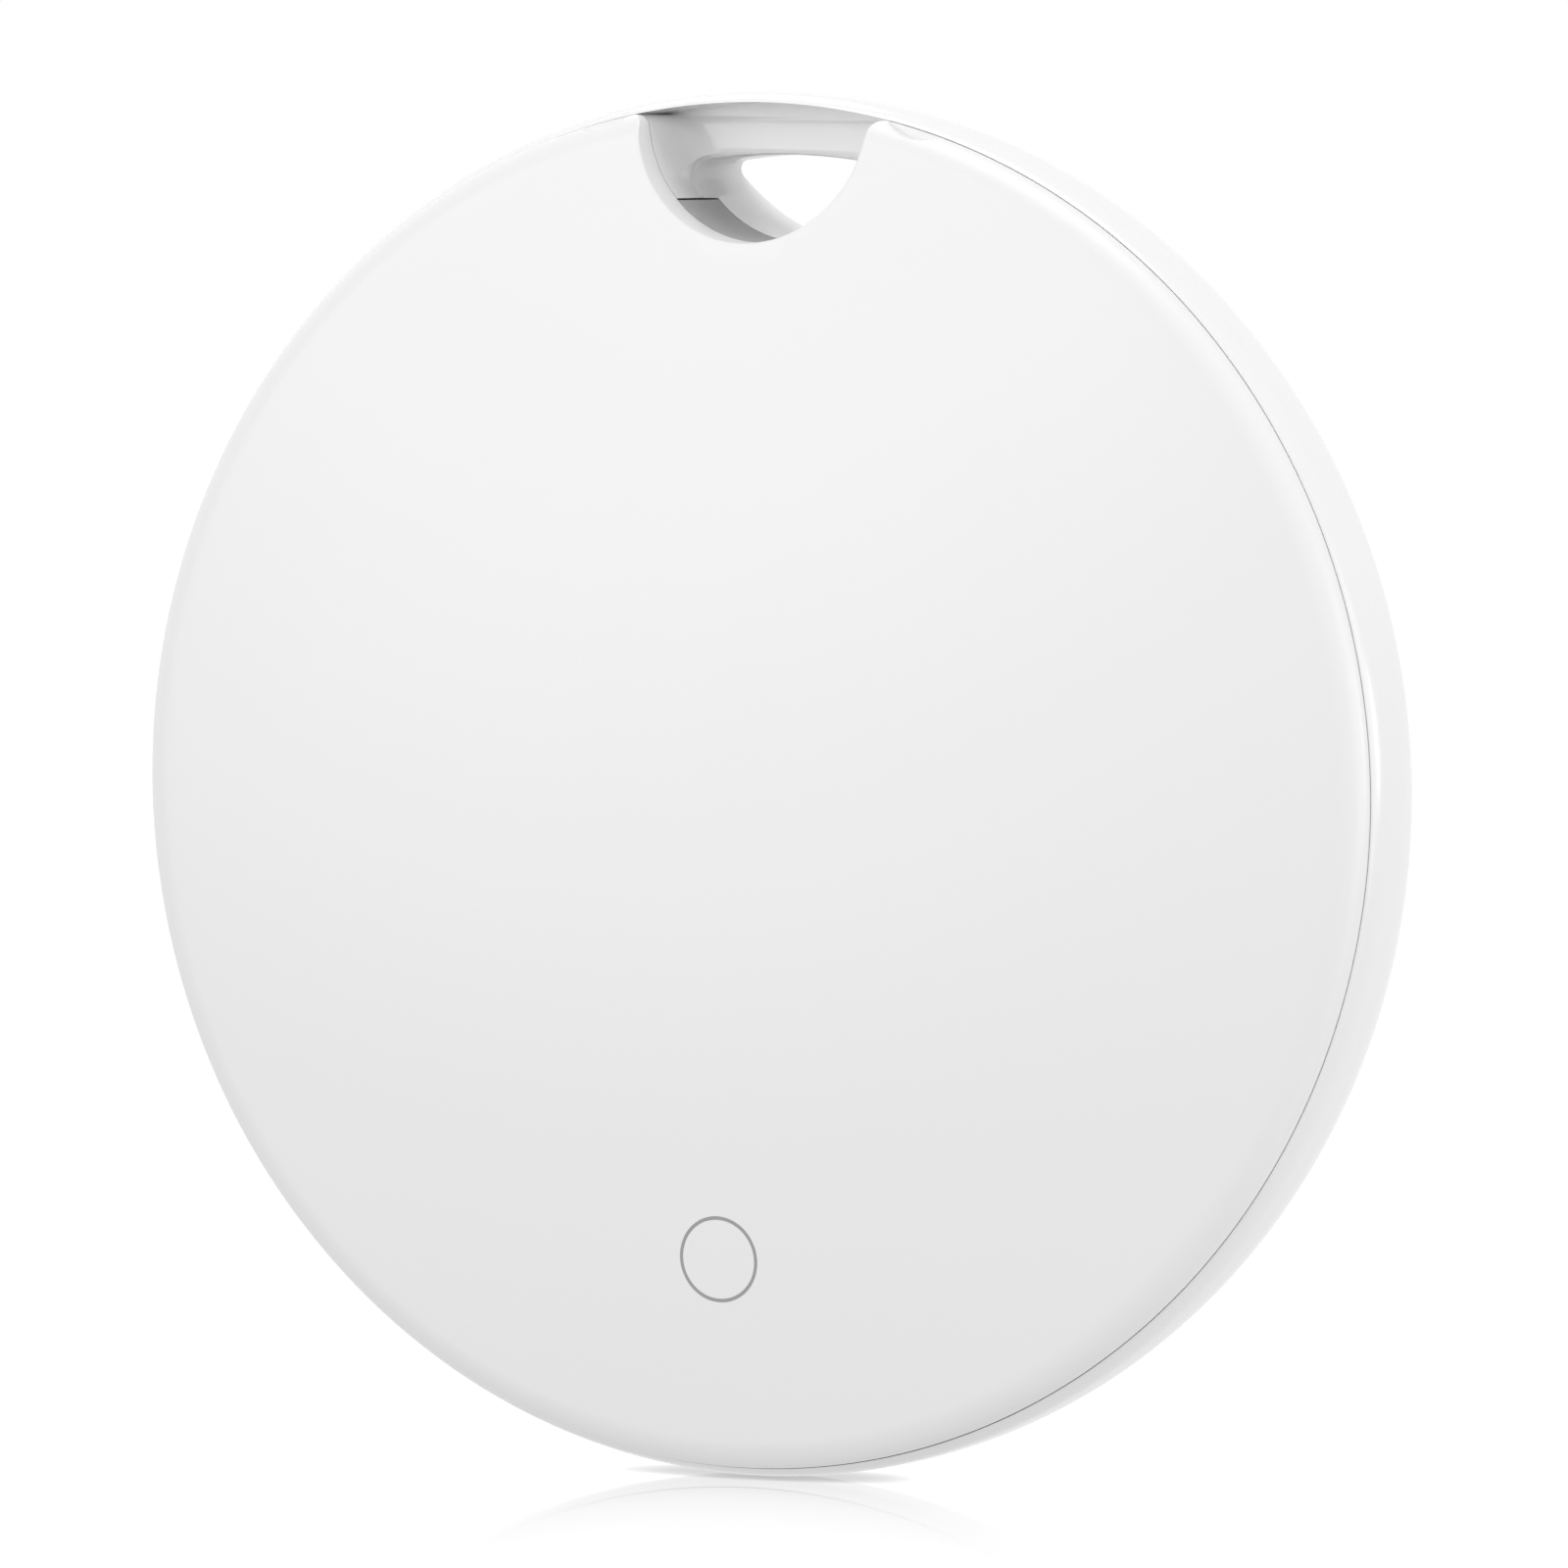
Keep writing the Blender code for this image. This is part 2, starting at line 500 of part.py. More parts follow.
def buzzer_spring(name, x, tip):
    """A bent blade: a foot on the board, a slanting arm and a short pad under the sounder."""
    foot_y = PART_Y + 0.1
    line = [(x - 0.9, foot_y), (x - 0.3, foot_y), (x + 0.5, tip), (x + 1.0, tip)]
    thick = 0.09
    outline = line + [(a, b - thick) for a, b in reversed(line)]
    bm = bmesh.new()
    face = bm.faces.new([bm.verts.new((a, b, -3.4)) for a, b in outline])
    swept = bmesh.ops.extrude_face_region(bm, geom=[face])["geom"]
    moved = [item for item in swept if isinstance(item, bmesh.types.BMVert)]
    bmesh.ops.translate(bm, vec=(0.0, 0.0, 0.8), verts=moved)
    finish(name, bm, gold, tag)


buzzer_spring("buzzer_contact_ceramic", -2.4, CERAMIC_Y[0] - 0.03)
buzzer_spring("buzzer_contact_plate", -6.3, PLATE_Y[0] - 0.03)

# ---- Screws through the frame and the board into the shell's bosses ----
HEAD_R = 1.15
SHANK_R = 0.45
for number, degrees in enumerate(SCREW_ANGLES, 1):
    head_front = FRAME_FLOOR_Y[0] - 0.65
    screw_profile = [
        (0.0, head_front),
        (HEAD_R - 0.25, head_front),
        (HEAD_R, head_front + 0.25),
        (HEAD_R, FRAME_FLOOR_Y[0] - 0.02),
        (SHANK_R, FRAME_FLOOR_Y[0] - 0.02),
        (SHANK_R, 5.0),
        (0.0, 5.15),
    ]
    screw_bm = turn_about_y(turned(screw_profile, 20, (SCREW_RING_R, 0.0)), degrees)
    screw = finish(f"frame_screw_{number}", screw_bm, steel, tag)
    for turn in (0.0, 90.0):
        slot = block((-0.65, head_front - 0.5, -0.13), (0.65, head_front + 0.35, 0.13))
        bmesh.ops.rotate(slot, cent=(0, 0, 0), matrix=Matrix.Rotation(math.radians(turn), 3, "Y"), verts=slot.verts)
        bmesh.ops.translate(slot, vec=(SCREW_RING_R, 0.0, 0.0), verts=slot.verts)
        boolean(screw, turn_about_y(slot, degrees), "DIFFERENCE", tag)
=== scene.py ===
import math

import bmesh
import bpy
from mathutils import Matrix, Vector


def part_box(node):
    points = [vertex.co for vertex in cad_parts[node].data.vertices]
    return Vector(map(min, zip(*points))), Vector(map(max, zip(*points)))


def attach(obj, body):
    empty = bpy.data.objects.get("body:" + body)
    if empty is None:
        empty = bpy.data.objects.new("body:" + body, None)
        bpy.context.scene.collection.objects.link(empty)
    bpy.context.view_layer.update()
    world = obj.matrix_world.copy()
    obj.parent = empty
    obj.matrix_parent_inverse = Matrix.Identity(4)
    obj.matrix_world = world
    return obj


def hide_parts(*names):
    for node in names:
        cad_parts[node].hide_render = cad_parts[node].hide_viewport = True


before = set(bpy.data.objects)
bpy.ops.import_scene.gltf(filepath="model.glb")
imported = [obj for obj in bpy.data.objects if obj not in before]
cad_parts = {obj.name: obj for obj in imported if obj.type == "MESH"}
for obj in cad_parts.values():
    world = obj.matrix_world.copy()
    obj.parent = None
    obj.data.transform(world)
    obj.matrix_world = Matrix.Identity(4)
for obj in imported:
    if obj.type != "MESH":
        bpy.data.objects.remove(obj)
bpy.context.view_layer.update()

scene = bpy.context.scene

# ---- Where things are ----
# Sizes below are millimetres, with depths counted back (+Y) from the seam plane, where the cover meets the
# shell's lip. The frame's own boxes say where that plane is and how large each part is.
MM = 0.001
SEAM_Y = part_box("rear_shell")[0].y


def room(node):
    """The lowest and highest corner of a part, in millimetres, with its depth counted from the seam plane."""
    return [(corner - Vector((0.0, SEAM_Y, 0.0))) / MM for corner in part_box(node)]


BODY_R = room("rear_shell")[1].x
REAR_Y = room("rear_shell")[1].y

# ---- Camera ----
# A long lens a little above the tag's middle, to the right of its front. The tag has rolled a degree or so
# on its rim, so the camera and the floor lean that much round the tag's own axis.
ROLLED = math.radians(1.2)
AZIMUTH = math.radians(27.15)
ELEVATION = math.radians(2.84)
CAMERA_DISTANCE = 380.0
CAMERA_SIDESTEP = 0.99
CAMERA_LIFT = 0.08
level = Matrix.Rotation(-ROLLED, 3, "Y")
right = level @ Vector((math.cos(AZIMUTH), math.sin(AZIMUTH), 0.0))
back = level @ Vector(
    (math.sin(AZIMUTH) * math.cos(ELEVATION), -math.cos(AZIMUTH) * math.cos(ELEVATION), math.sin(ELEVATION))
)
up = back.cross(right)
lens = bpy.data.cameras.new("product_lens")
lens.lens = 318.5
camera = bpy.data.objects.new("camera", lens)
offset = CAMERA_DISTANCE * back + CAMERA_SIDESTEP * right + CAMERA_LIFT * up
stand = Vector((0.0, SEAM_Y, 0.0)) + offset * MM
camera.matrix_world = Matrix.Translation(stand) @ Matrix((right, up, back)).transposed().to_4x4()
scene.collection.objects.link(camera)
scene.camera = camera


# ---- Front cover ----
# A domed, press-fit cover moulded in satin white plastic. A skirt behind it goes into the shell's mouth, and
# a U-shaped notch leaves the strap hole open. It is turned and cut, with its skirt and notch edges eased.
class Wire:
    """One output of a finish's nodes. Sums, products and comparisons of wires add the Math nodes."""

    def __init__(self, finish, socket):
        self.finish = finish
        self.socket = socket

    def maths(self, operation, first, second):
        return self.finish.node("Math", {"operation": operation}, {0: first, 1: second})

    def __add__(self, other):
        return self.maths("ADD", self, other)

    def __sub__(self, other):
        return self.maths("SUBTRACT", self, other)

    def __rsub__(self, other):
        return self.maths("SUBTRACT", other, self)

    def __mul__(self, other):
        return self.maths("MULTIPLY", self, other)

    def __gt__(self, other):
        return self.maths("GREATER_THAN", self, other)

    def __lt__(self, other):
        return self.maths("LESS_THAN", self, other)

    __radd__ = __add__
    __rmul__ = __mul__


class Nodes:
    """The nodes of a material or of the world, added one at a time."""

    def __init__(self, tree):
        self.tree = tree

    def join(self, node, sockets):
        for key, value in sockets.items():
            if isinstance(value, Wire):
                self.tree.links.new(value.socket, node.inputs[key])
            else:
                node.inputs[key].default_value = value

    def node(self, kind, settings, sockets, output=0):
        made = self.tree.nodes.new("ShaderNode" + kind)
        for key, value in settings.items():
            setattr(made, key, value)
        self.join(made, sockets)
        return Wire(self, made.outputs[output]) if made.outputs else None


class Finish(Nodes):
    """A material: a Principled shader, and the nodes that vary it over the surface."""

    def __init__(self, name, roughness, metallic=0.0):
        self.material = bpy.data.materials.new(name)
        self.material.use_nodes = True
        super().__init__(self.material.node_tree)
        self.shader = self.tree.nodes["Principled BSDF"]
        self.join(self.shader, {"Roughness": roughness, "Metallic": metallic})
        self.place = self.node("TexCoord", {}, {}, "Object")

    def grain(self, size, detail=2.0):
        """Noise between 0 and 1 whose lumps are about size millimetres across."""
        return self.node("TexNoise", {}, {"Vector": self.place, "Scale": 1 / (size * MM), "Detail": detail})

    def blend(self, share, low, high):
        """A colour that goes from low to high as share goes from 0 to 1."""
        sockets = {0: share, 6: (*low, 1.0) if isinstance(low, tuple) else low}
        sockets[7] = (*high, 1.0) if isinstance(high, tuple) else high
        return self.node("Mix", {"data_type": "RGBA"}, sockets, 2)

    def relief(self, height, depth):
        """The normal of a surface raised by height times depth millimetres."""
        return self.node("Bump", {}, {"Height": height, "Distance": depth * MM, "Strength": 1.0})

    def shade(self, **sockets):
        self.join(self.shader, {key.replace("_", " "): value for key, value in sockets.items()})


def spun(profile, steps=256, centre=(0.0, 0.0)):
    """Turns (radius, depth) points round an axis along Y at centre (x, z), closing any profile off it."""
    bm = bmesh.new()
    points = [bm.verts.new((radius, depth, 0.0)) for radius, depth in profile]
    edges = [bm.edges.new(pair) for pair in zip(points, points[1:])]
    if profile[0][0] > 0:
        edges.append(bm.edges.new((points[-1], points[0])))
    bmesh.ops.spin(
        bm, geom=points + edges, cent=(0, 0, 0), axis=(0, 1, 0), angle=math.tau, steps=steps, use_merge=True
    )
    bmesh.ops.remove_doubles(bm, verts=bm.verts, dist=1e-4)
    bmesh.ops.recalc_face_normals(bm, faces=bm.faces)
    bmesh.ops.translate(bm, vec=(centre[0], 0.0, centre[1]), verts=bm.verts)
    return bm


def eased(profile, ease, steps=3, closed=True):
    """The same profile with each corner rounded off, from ease millimetres before it to ease after it."""
    eased_points = []
    count = len(profile)
    for number, corner in enumerate(profile):
        if not closed and number in (0, count - 1):
            eased_points.append(corner)
            continue
        corner = Vector(corner)
        sides = [Vector(profile[number - 1]) - corner, Vector(profile[(number + 1) % count]) - corner]
        start, end = (corner + side.normalized() * min(ease, side.length * 0.45) for side in sides)
        for step in range(steps + 1):
            along = step / steps
            point = start * (1 - along) ** 2 + corner * (2 * along * (1 - along)) + end * along**2
            eased_points.append(tuple(point))
    return eased_points


def rod(radius, front, rear, centre=(0.0, 0.0), steps=96):
    """A plain cylinder along Y."""
    return spun([(0.0, front), (radius, front), (radius, rear), (0.0, rear)], steps, centre)


def drawn(*outlines):
    """Draws a shape through outlines of (x, y, z) points, one behind the other, and closes both ends."""
    bm = bmesh.new()
    loops = []
    for outline in outlines:
        verts = [bm.verts.new(point) for point in outline]
        loops.append([bm.edges.new(pair) for pair in zip(verts, verts[1:] + verts[:1])])
    for front, rear in zip(loops, loops[1:]):
        bmesh.ops.bridge_loops(bm, edges=front + rear)
    bmesh.ops.holes_fill(bm, edges=bm.edges, sides=0)
    bmesh.ops.recalc_face_normals(bm, faces=bm.faces)
    return bm


def slab(outline, front, rear):
    """An outline of (x, z) points drawn straight back."""
    return drawn([(x, front, z) for x, z in outline], [(x, rear, z) for x, z in outline])


def block(low, high, edge=0.0, segments=3):
    """A box between two corners, with rounded edges if asked."""
    bm = bmesh.new()
    bmesh.ops.create_cube(bm, size=1.0)
    bmesh.ops.scale(bm, vec=[h - l for l, h in zip(low, high)], verts=bm.verts)
    bmesh.ops.translate(bm, vec=[(l + h) / 2 for l, h in zip(low, high)], verts=bm.verts)
    if edge:
        bmesh.ops.bevel(
            bm, geom=bm.edges, offset=edge, segments=segments, profile=0.5, affect="EDGES", material=-1
        )
    return bm


def bench(bm):
    """Puts a shape on the bench as an object, for cutting."""
    mesh = bpy.data.meshes.new("bench")
    bm.to_mesh(mesh)
    bm.free()
    item = bpy.data.objects.new("bench", mesh)
    scene.collection.objects.link(item)
    return item


def worked(bm, *steps, solver="EXACT"):
    """Cuts, joins or crosses a shape with others, each step an operation and a shape, and gives it back."""
    work = bench(bm)
    tools = []
    for operation, shape in steps:
        tool = bench(shape)
        step = work.modifiers.new(operation, "BOOLEAN")
        step.operation = operation
        step.solver = solver
        step.object = tool
        tools.append(tool)
    finished = bmesh.new()
    finished.from_object(work, bpy.context.evaluated_depsgraph_get())
    for item in [work, *tools]:
        bpy.data.objects.remove(item)
    return finished


def piece(name, bm, finish, body, slot, *nodes, smooth=32.0):
    """Makes a shape a finished piece in metres, which rides on a body and stands for the frame's nodes."""
    bmesh.ops.translate(bm, vec=(0.0, SEAM_Y / MM, 0.0), verts=bm.verts)
    bmesh.ops.scale(bm, vec=(MM, MM, MM), verts=bm.verts)
    mesh = bpy.data.meshes.new(name)
    bm.to_mesh(mesh)
    bm.free()
    mesh.shade_smooth()
    mesh.set_sharp_from_angle(angle=math.radians(smooth))
    mesh.materials.append(finish.material)
    made = bpy.data.objects.new(name, mesh)
    scene.collection.objects.link(made)
    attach(made, body)
    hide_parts(*nodes)
    return made


def arc(centre, radius, start, end, steps):
    """Points (x, z) on an arc, angles in degrees from +X towards +Z."""
    turns = [math.radians(start + (end - start) * step / steps) for step in range(steps + 1)]
    return [(centre[0] + radius * math.cos(turn), centre[1] + radius * math.sin(turn)) for turn in turns]


def circles_meet(z_one, reach_one, reach_two):
    """Where circles about (0, z_one) and the tag's axis cross, on the +X side: a fillet's centre."""
    z = (reach_two**2 - reach_one**2 + z_one**2) / (2 * z_one)
    return math.sqrt(reach_two**2 - z**2), z


def bearing(start, end):
    """The direction from one (x, z) point to another, in degrees."""
    return math.degrees(math.atan2(end[1] - start[1], end[0] - start[0]))


cover_low, cover_high = room("front_cover")
COVER_R = cover_high.x
FRONT_Y = cover_low.y
DOME_RISE = 1.4
EDGE_DROP = -FRONT_Y - DOME_RISE
EDGE_ROUND = 0.8
HOLE_Z = 18.4
HOLE_R = 3.5
COLLAR_R = 4.3
COLLAR_FRONT = 0.15
COLLAR_GAP = 0.1
NOTCH_CORNER = 0.35
COVER_INNER_Y = 0.1
BUTTON_Z = (room("button_cap")[0].z + room("button_cap")[1].z) / 2
SEAL_R = room("button_seal")[1].x


def cover_front(radius):
    """Depth of the cover's outer face: a shallow dome, then a rounded edge."""
    dome = DOME_RISE * (1 - (radius / COVER_R) ** 2)
    into_round = min(1.0, max(0.0, (radius - COVER_R + EDGE_ROUND) / EDGE_ROUND))
    return -dome - EDGE_DROP * math.sqrt(1 - into_round**2)


def notch_outline(grow=0.0, corner=NOTCH_CORNER):
    """The U-shaped notch, flaring round its corners into the cover's rim and on past it."""
    bore = HOLE_R + grow
    corner = corner - grow
    centre = circles_meet(HOLE_Z, bore + corner, COVER_R - corner)
    low = bearing((0.0, HOLE_Z), centre)
    flare = arc(centre, corner, low + 180, bearing((0.0, 0.0), centre), 10)
    right_side = flare + [(flare[-1][0], BODY_R + 3)]
    left_side = [(-x, z) for x, z in reversed(right_side)]
    return right_side + left_side + arc((0.0, HOLE_Z), bore, -180 - low, low, 48)[1:-1]


def on_dome(outline, depth):
    """An outline laid on the cover's front, depth millimetres behind its surface."""
    return [(x, cover_front(math.hypot(x, z)) + depth, z) for x, z in outline]


dome_rings = [(COVER_R - EDGE_ROUND) * step / 26 for step in range(27)]
edge_rings = [COVER_R - EDGE_ROUND * (1 - math.sin(math.radians(5 * step))) for step in range(1, 19)]
dome_line = [(radius, cover_front(radius)) for radius in dome_rings + edge_rings]
FLANGE_Y = 0.9
SKIRT_OUTER = 17.7
SKIRT_INNER = 16.9
SKIRT_Y = cover_high.y
POCKET_R = 10.8
POCKET_Y = -0.75
cover_inside = [
    (COVER_R, FLANGE_Y),
    (SKIRT_OUTER, FLANGE_Y),
    (SKIRT_OUTER, SKIRT_Y),
    (SKIRT_INNER, SKIRT_Y),
    (SKIRT_INNER, COVER_INNER_Y),
    (POCKET_R, COVER_INNER_Y),
    (POCKET_R, POCKET_Y),
    (0.0, POCKET_Y),
]
inside_line = eased([dome_line[-1], *cover_inside], 0.08, closed=False)[1:]
NOTCH_EASE = 0.07
notch = drawn(
    on_dome(notch_outline(NOTCH_EASE * 1.4), -1.0),
    on_dome(notch_outline(NOTCH_EASE), 0.0),
    on_dome(notch_outline(NOTCH_EASE * 0.3), NOTCH_EASE * 0.3),
    on_dome(notch_outline(), NOTCH_EASE),
    [(x, 4.0, z) for x, z in notch_outline()],
)
SKIRT_GAP_HALF = 4.9
SKIRT_GAP_FOOT, SKIRT_GAP_TOP = 14.0, 17.85
skirt_gap = [
    (-SKIRT_GAP_HALF, SKIRT_GAP_FOOT),
    (SKIRT_GAP_HALF, SKIRT_GAP_FOOT),
    (SKIRT_GAP_HALF, SKIRT_GAP_TOP),
    (-SKIRT_GAP_HALF, SKIRT_GAP_TOP),
]
skirt_room = slab(skirt_gap, COVER_INNER_Y, 4.0)
cover_cuts = [
    ("DIFFERENCE", notch),
    ("DIFFERENCE", rod(COLLAR_R + COLLAR_GAP, COVER_INNER_Y, 4.0, (0.0, HOLE_Z))),
    ("DIFFERENCE", skirt_room),
    ("DIFFERENCE", rod(SEAL_R + 0.005, FRONT_Y - 1, 1.0, (0.0, BUTTON_Z))),
]
# A fingernail relief in the cover's edge on each side of the notch.
RELIEF_X, RELIEF_R, RELIEF_DEPTH, RELIEF_Y = 4.75, 1.6, 0.26, -0.05
relief_reach = COVER_R - RELIEF_DEPTH + RELIEF_R
for side in (-1, 1):
    turn = math.asin(side * RELIEF_X / COVER_R)
    relief_centre = (relief_reach * math.sin(turn), relief_reach * math.cos(turn))
    cover_cuts.append(("DIFFERENCE", rod(RELIEF_R, FRONT_Y, RELIEF_Y, relief_centre)))
cover = worked(spun(dome_line + inside_line), *cover_cuts, solver="MANIFOLD")


def white_plastic(name, tone, roughness):
    """Polished white plastic: a hair of flow haze in its colour and gloss, over a very fine moulded skin."""
    finish = Finish(name, roughness)
    haze = finish.grain(9.0, 3.0)
    warm = tuple(channel * share for channel, share in zip(tone, (1.0, 0.996, 0.99)))
    skin = finish.grain(0.22, 4.0)
    finish.shade(
        Base_Color=finish.blend(haze, tone, warm),
        Roughness=roughness + (haze - 0.5) * 0.06 + (skin - 0.5) * 0.03,
        Normal=finish.relief(skin, 0.0006),
        Specular_IOR_Level=0.5,
    )
    return finish


cover_plastic = white_plastic("cover_plastic", (0.85, 0.85, 0.852), 0.32)
piece("cover_moulding", cover, cover_plastic, "cover", "cover_plastic", "front_cover")

# ---- Push button ----
# A small white key moulded in the cover's plastic. A flange behind the cover keeps it in, and its stem
# reaches back to the switch.
BUTTON_R = 1.095
FLANGE_FRONT, FLANGE_REAR = 0.15, 0.5
STEM_R = 0.7
button_high = room("button_cap")[1]
button_inside = [
    (BUTTON_R, FLANGE_FRONT),
    (button_high.x, FLANGE_FRONT),
    (button_high.x, FLANGE_REAR),
    (STEM_R, FLANGE_REAR),
    (STEM_R, button_high.y),
    (0.0, button_high.y),
]
button_line = eased([(0.0, -3.0), (BUTTON_R, -3.0), *button_inside], 0.04, closed=False)
under_dome = spun(dome_line + [(COVER_R, 5.0), (0.0, 5.0)], 128)
button = worked(spun(button_line, 96, (0.0, BUTTON_Z)), ("INTERSECT", under_dome))
piece("button_key", button, cover_plastic, "button", "cover_plastic", "button_cap")

# ---- Button seal ----
# The thin grey ring round the key is the edge of a soft rubber sleeve in the cover, which keeps water out.
rubber = Finish("seal_rubber", 0.55)
pores = rubber.grain(0.05, 3.0)
rubber.shade(
    Base_Color=rubber.blend(pores, (0.30, 0.30, 0.305), (0.38, 0.38, 0.385)),
    Roughness=0.5 + pores * 0.2,
    Normal=rubber.relief(pores, 0.002),
)
under_dome = spun(dome_line + [(COVER_R, 5.0), (0.0, 5.0)], 128)
SEAL_BORE_R = BUTTON_R + 0.005
seal_line = [(SEAL_R, -3.0), (SEAL_R, COVER_INNER_Y), (SEAL_BORE_R, COVER_INNER_Y), (SEAL_BORE_R, -3.0)]
seal = worked(spun(seal_line, 96, (0.0, BUTTON_Z)), ("INTERSECT", under_dome))
piece("seal_sleeve", seal, rubber, "cover", "seal_rubber", "button_seal")

# ---- Foam pad ----
# A disc of black open-cell foam, stuck in the cover's pocket, keeps the cell from rattling.
PAD_EASE = 0.06
foam = Finish("foam", 0.95)
cells = foam.node("TexVoronoi", {}, {"Vector": foam.place, "Scale": 1 / (0.25 * MM)}, "Distance")
foam.shade(
    Base_Color=foam.blend(cells, (0.012, 0.012, 0.014), (0.07, 0.07, 0.075)),
    Roughness=1.0 - cells * 0.15,
    Normal=foam.relief(cells, 0.08),
)
pad_low, pad_high = room("battery_foam_pad")
pad_line = [(0.0, pad_low.y), (pad_high.x, pad_low.y), (pad_high.x, pad_high.y), (0.0, pad_high.y)]
pad = spun(eased(pad_line, PAD_EASE, closed=False), 96)
piece("foam_disc", pad, foam, "cover", "foam", "battery_foam_pad")

# ---- Coin cell ----
# A 20 mm lithium cell. Its can and cap are drawn from nickel-plated steel, with a black gasket between them
# under the can's crimp, and both are brushed in fine circles.
cell_steel = Finish("cell_steel", 0.3, 1.0)
across = {0: cell_steel.place, 1: (1.0, 0.0, 1.0)}
from_axis = cell_steel.node("VectorMath", {"operation": "MULTIPLY"}, across)
radius = cell_steel.node("VectorMath", {"operation": "LENGTH"}, {0: from_axis}, "Value")
BRUSH_PITCH = 0.04 * MM
brushing = {"W": radius * (1 / BRUSH_PITCH), "Detail": 3.0}
turning = cell_steel.node("TexNoise", {"noise_dimensions": "1D"}, brushing)
stains = cell_steel.grain(4.0, 3.0)
cell_steel.shade(
    Base_Color=cell_steel.blend(stains, (0.56, 0.55, 0.52), (0.68, 0.67, 0.64)),
    Roughness=0.22 + turning * 0.14 + stains * 0.08,
    Normal=cell_steel.relief(turning, 0.002),
)
can_low, can_high = room("cell_can")
CELL_R = can_high.x
CELL_FRONT = can_low.y
CRIMP = can_high.y
can_line = [
    (0.0, CELL_FRONT),
    (CELL_R - 0.05, CELL_FRONT),
    (CELL_R, CELL_FRONT + 0.25),
    (CELL_R, CRIMP - 0.35),
    (CELL_R - 0.45, CRIMP),
    (CELL_R - 0.65, CRIMP - 0.15),
    (CELL_R - 0.25, CRIMP - 0.55),
    (CELL_R - 0.25, CELL_FRONT + 0.25),
    (0.0, CELL_FRONT + 0.25),
]
can = spun(eased(can_line, 0.12, closed=False), 192)
piece("drawn_can", can, cell_steel, "coin_cell", "cell_steel", "cell_can")
cap_low, cap_high = room("cell_cap")
cap_line = [
    (0.0, cap_high.y - 0.25),
    (cap_high.x - 0.7, cap_high.y - 0.25),
    (cap_high.x - 0.25, cap_high.y - 0.6),
    (cap_high.x - 0.25, cap_low.y),
    (cap_high.x, cap_low.y),
    (cap_high.x, cap_high.y - 0.5),
    (cap_high.x - 0.6, cap_high.y),
    (0.0, cap_high.y),
]
cap = spun(eased(cap_line, 0.1, closed=False), 192)
piece("drawn_cap", cap, cell_steel, "coin_cell", "cell_steel", "cell_cap")


def speckled(name, dark, light, roughness, size, depth, metallic=0.0):
    """A fine-grained finish between two colours, with grain of one size and a slight relief."""
    finish = Finish(name, roughness, metallic)
    grain = finish.grain(size, 4.0)
    finish.shade(
        Base_Color=finish.blend(grain, dark, light),
        Roughness=roughness + (grain - 0.5) * 0.2,
        Normal=finish.relief(grain, depth),
    )
    return finish


polymer = speckled("cell_polymer", (0.02, 0.02, 0.02), (0.05, 0.05, 0.05), 0.55, 0.15, 0.004)
stack = speckled("cell_stack", (0.08, 0.08, 0.09), (0.2, 0.2, 0.22), 0.7, 0.1, 0.02)


def refinish(finish, *names):
    """Gives parts that keep their own shape a better finish."""
    for name in names:
        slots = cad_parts[name].material_slots
        for place_on_part in slots:
            place_on_part.material = finish.material


refinish(polymer, "cell_gasket")
refinish(stack, "cell_electrodes")

# ---- Inner frame ----
# One matt moulding, its mid grey a painted shade that stands for the shadow on it: a round tray for the cell,
# a floor that holds the board down, and the wall that lines the lower part of the strap hole. It is turned,
# joined and cut.
FRAME_R = room("inner_frame")[1].x
TRAY_INNER, TRAY_OUTER = 10.2, 11.0
TRAY_Y = 0.3
FLOOR_FRONT, FLOOR_REAR = 2.76, 3.24
FLOOR_BORE = 7.5
FRAME_WALL_HALF = 3.9
FRAME_WALL_FOOT, FRAME_WALL_REAR = 12.7, 2.5
FRAME_EDGE = 0.05
FRAME_WINDOW_EDGE = 0.1
SCREW_HOLE_R = 0.8
PARTING_Z = 16.05
SCREW_RING_R = 14.2
SCREW_ANGLES = (12.0, 168.0, 300.0)


def round_the_ring(bm, degrees):
    """Turns a shape about the tag's own axis, from +X towards +Z."""
    turned = Matrix.Rotation(-math.radians(degrees), 3, "Y")
    bmesh.ops.rotate(bm, cent=(0, 0, 0), matrix=turned, verts=bm.verts)
    return bm


frame_line = [
    (TRAY_INNER, TRAY_Y),
    (TRAY_OUTER, TRAY_Y),
    (TRAY_OUTER, FLOOR_FRONT),
    (FRAME_R, FLOOR_FRONT),
    (FRAME_R, FLOOR_REAR),
    (FLOOR_BORE, FLOOR_REAR),
    (FLOOR_BORE, FLOOR_FRONT),
    (TRAY_INNER, FLOOR_FRONT),
]
wall_low = (-FRAME_WALL_HALF, COLLAR_FRONT, FRAME_WALL_FOOT)
wall_high = (FRAME_WALL_HALF, FRAME_WALL_REAR, PARTING_Z - 0.05)
rib_low = (0.3 - FRAME_WALL_HALF, 0.4, 12.5)
rib_high = (FRAME_WALL_HALF - 0.3, 3.0, 13.9)
blade_window = ((9.5, 0.0, -1.8), (13.2, 4.0, 1.8))
switch_window = ((-2.2, 0.0, BUTTON_Z - 1.9), (2.2, 4.0, BUTTON_Z + 1.7))
